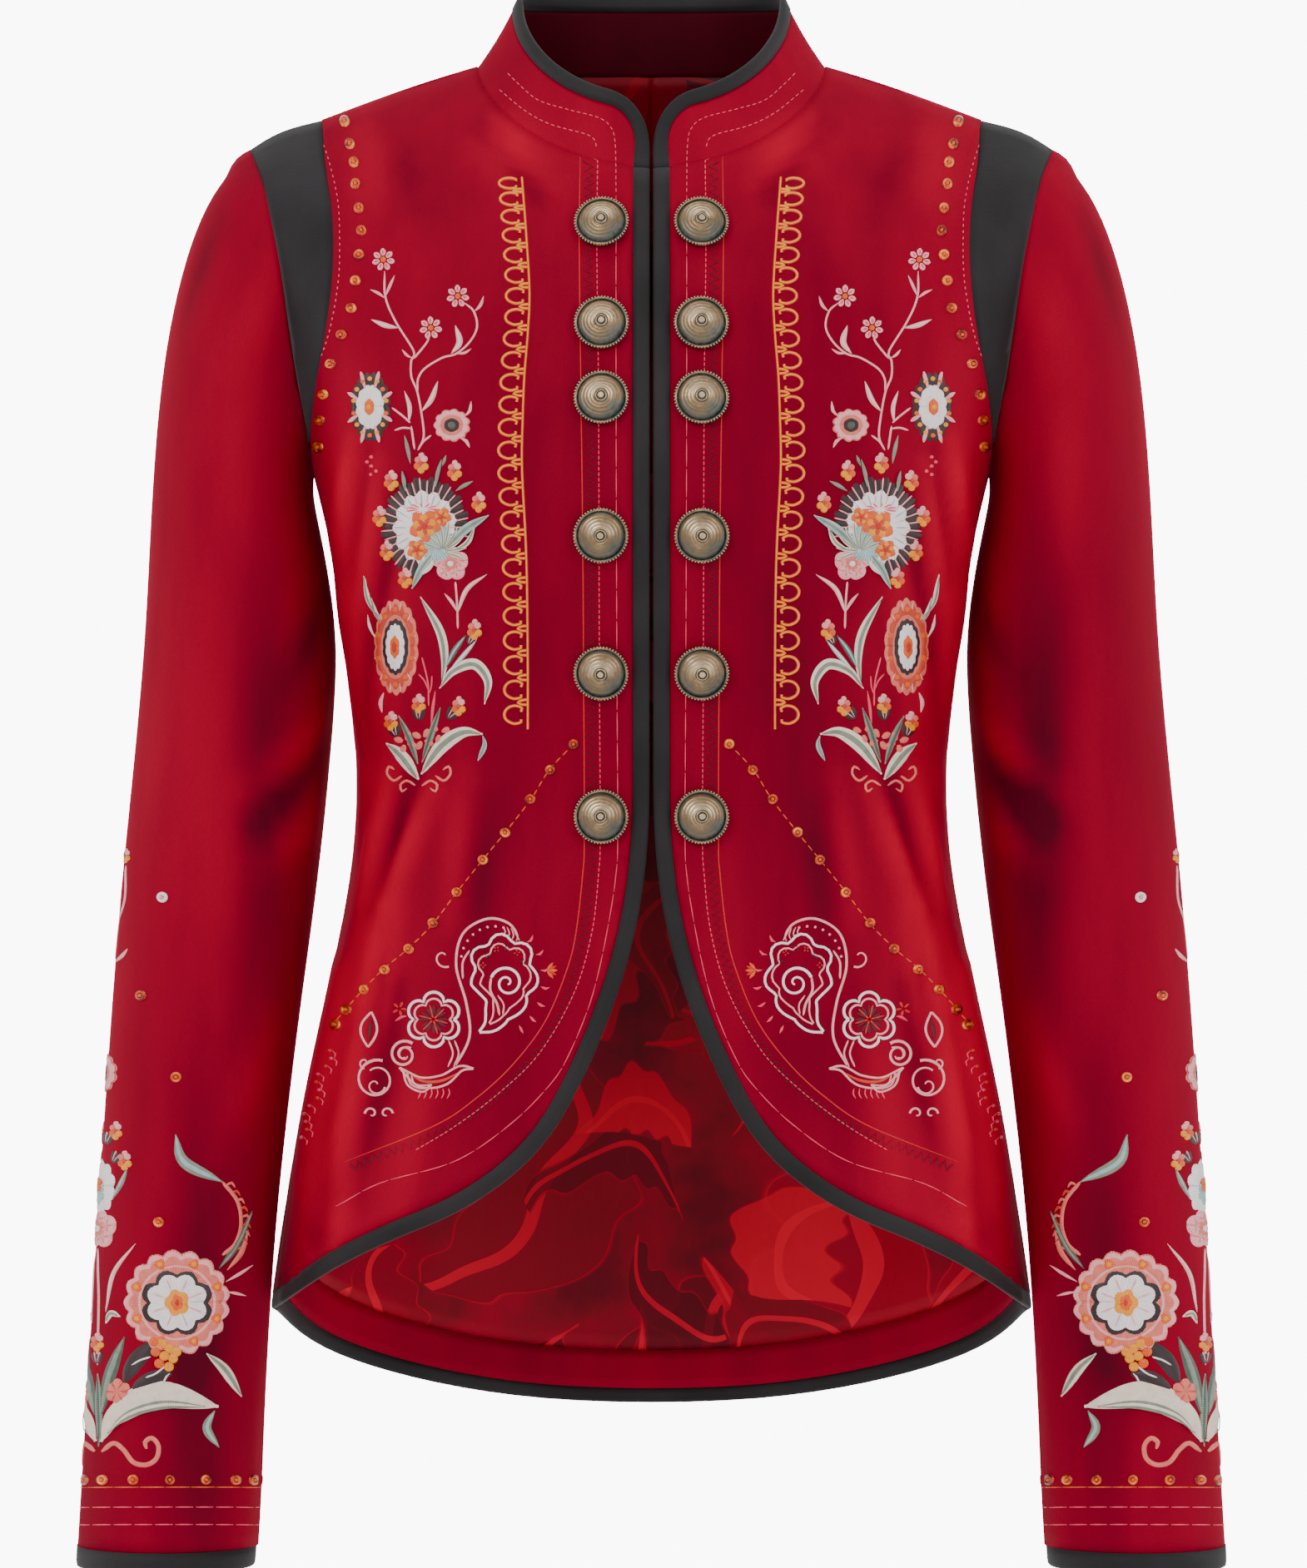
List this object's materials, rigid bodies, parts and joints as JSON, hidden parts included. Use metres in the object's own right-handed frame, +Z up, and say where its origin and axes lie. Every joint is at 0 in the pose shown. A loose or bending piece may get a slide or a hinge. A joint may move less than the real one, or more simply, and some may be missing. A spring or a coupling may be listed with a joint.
{
  "type": "embroidered velvet jacket",
  "caption": "Fitted hip-length velvet jacket with a stand collar, long sleeves, bound edges, shank buttons and cutaway fronts, hollow as worn.",
  "frame": {"origin": "between the shoulders on the body's mid-plane, level with the points where the neck seam crosses the shoulder seams, where the wearer carries the jacket", "axes": "+Z up along the wearer's spine, -Y to the wearer's front, +X to the wearer's left"},
  "size_m": [0.5228, 0.248, 0.7197],
  "materials": {
    "red_velvet": "short silky pile, deep red with a soft sheen, embroidered on the fronts, collar and sleeves",
    "red_lining": "woven brocade of large leaves in three reds",
    "black_cloth": "plain matt black cloth",
    "black_binding": "black bias binding, smooth",
    "antique_brass": "antiqued, dark in the grooves and bright on the raised rings"
  },
  "bodies": {
    "root": {"front_left": "red_velvet", "front_right": "red_velvet", "back_left": "red_velvet", "back_right": "red_velvet", "top_sleeve_left": "red_velvet", "under_sleeve_left": "red_velvet", "top_sleeve_right": "red_velvet", "under_sleeve_right": "red_velvet", "collar": "red_velvet", "back_facing": "red_velvet", "back_lining": "red_lining", "armhole_panel_left": "black_cloth", "armhole_panel_right": "black_cloth", "collar_binding": "black_binding", "front_binding_left": "black_binding", "front_binding_right": "black_binding", "back_binding": "black_binding", "cuff_binding_left": "black_binding", "cuff_binding_right": "black_binding", "button_left_1": "antique_brass", "button_left_2": "antique_brass", "button_left_3": "antique_brass", "button_left_4": "antique_brass", "button_left_5": "antique_brass", "button_left_6": "antique_brass", "button_right_1": "antique_brass", "button_right_2": "antique_brass", "button_right_3": "antique_brass", "button_right_4": "antique_brass", "button_right_5": "antique_brass", "button_right_6": "antique_brass"}
  },
  "joints": []
}
